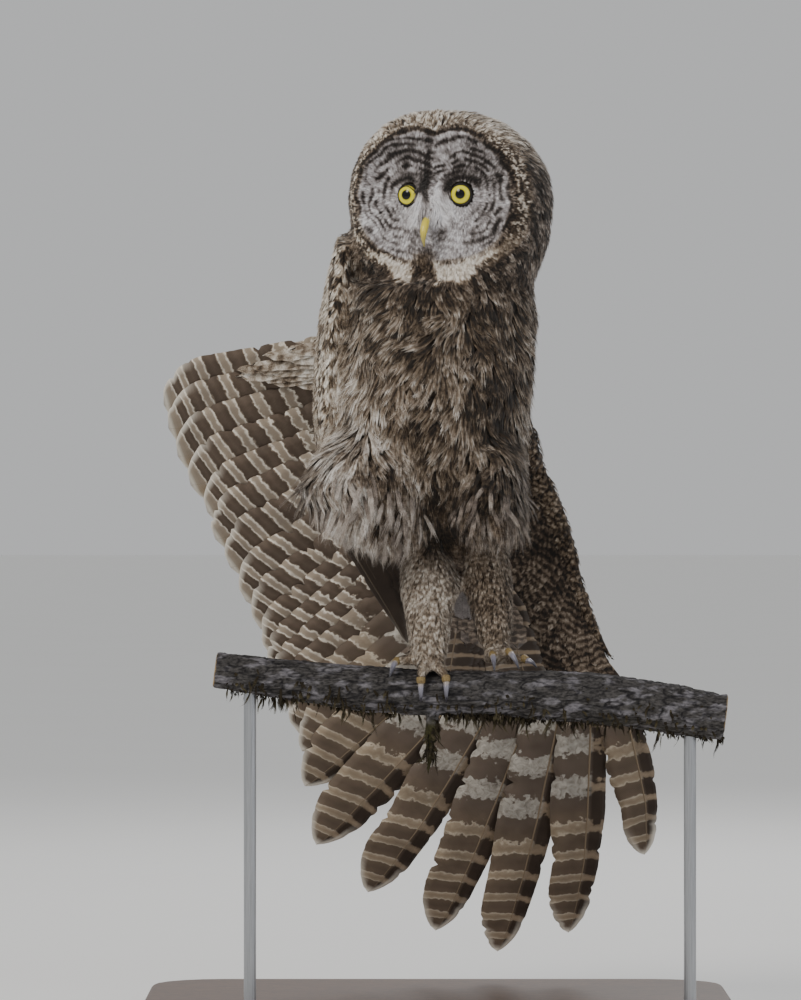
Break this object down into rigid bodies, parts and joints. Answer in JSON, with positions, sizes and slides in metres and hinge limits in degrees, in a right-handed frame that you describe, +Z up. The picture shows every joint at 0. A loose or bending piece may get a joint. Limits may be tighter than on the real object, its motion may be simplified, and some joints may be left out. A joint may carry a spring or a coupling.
{
  "type": "great grey owl",
  "caption": "Still great grey owl standing upright on a cut branch, its left wing spread down and back behind it, on a flat display stand",
  "frame": {"origin": "Bottom centre of the stand's base.", "axes": "+Z up, +Y from the owl's front to its back, +X to the owl's left. The owl's belly faces -Y."},
  "size_m": [0.5, 0.5, 0.761],
  "materials": {
    "plumage": "soft grey-brown body feathers mottled with white and dark brown",
    "face_plumage": "fine grey facial feathers with dark concentric rings",
    "flight_feather": "matt flight feathers with dark brown and pale bars",
    "eye": "wet glossy eye, yellow iris and black pupil",
    "bill_horn": "satin yellow horn",
    "claw_horn": "satin grey horn, darker at the point",
    "toe_skin": "feathered toes with yellowish skin at the ends",
    "bark": "rough dark bark with grey lichen",
    "stand_wood": "satin dark stained wood",
    "stand_steel": "brushed steel rod"
  },
  "bodies": {
    "root": {"bill_lower": "bill_horn", "bill_upper": "bill_horn", "claw_left_hind": "claw_horn", "claw_left_inner": "claw_horn", "claw_left_middle": "claw_horn", "claw_left_outer": "claw_horn", "claw_right_hind": "claw_horn", "claw_right_inner": "claw_horn", "claw_right_middle": "claw_horn", "claw_right_outer": "claw_horn", "eye_left": "eye", "eye_right": "eye", "foot_left": "toe_skin", "foot_right": "toe_skin", "forearm_left": "plumage", "hand_left": "plumage", "head": "face_plumage", "leg_left": "plumage", "leg_right": "plumage", "neck": "plumage", "perch": "bark", "primary_left_01": "flight_feather", "primary_left_02": "flight_feather", "primary_left_03": "flight_feather", "primary_left_04": "flight_feather", "primary_left_05": "flight_feather", "primary_left_06": "flight_feather", "primary_left_07": "flight_feather", "primary_left_08": "flight_feather", "primary_left_09": "flight_feather", "primary_left_10": "flight_feather", "secondary_left_01": "flight_feather", "secondary_left_02": "flight_feather", "secondary_left_03": "flight_feather", "secondary_left_04": "flight_feather", "secondary_left_05": "flight_feather", "secondary_left_06": "flight_feather", "secondary_left_07": "flight_feather", "secondary_left_08": "flight_feather", "secondary_left_09": "flight_feather", "secondary_left_10": "flight_feather", "secondary_left_11": "flight_feather", "secondary_left_12": "flight_feather", "stand_base": "stand_wood", "stand_rod_left": "stand_steel", "stand_rod_right": "stand_steel", "tail_base": "plumage", "tail_feathers_centre": "flight_feather", "tail_feathers_left": "flight_feather", "tail_feathers_right": "flight_feather", "thigh_left": "plumage", "thigh_right": "plumage", "trunk": "plumage", "underwing_coverts_left": "plumage", "upper_arm_left": "plumage", "upperwing_coverts_left": "plumage", "wing_right": "plumage", "wing_right_primaries": "flight_feather"}
  },
  "joints": []
}
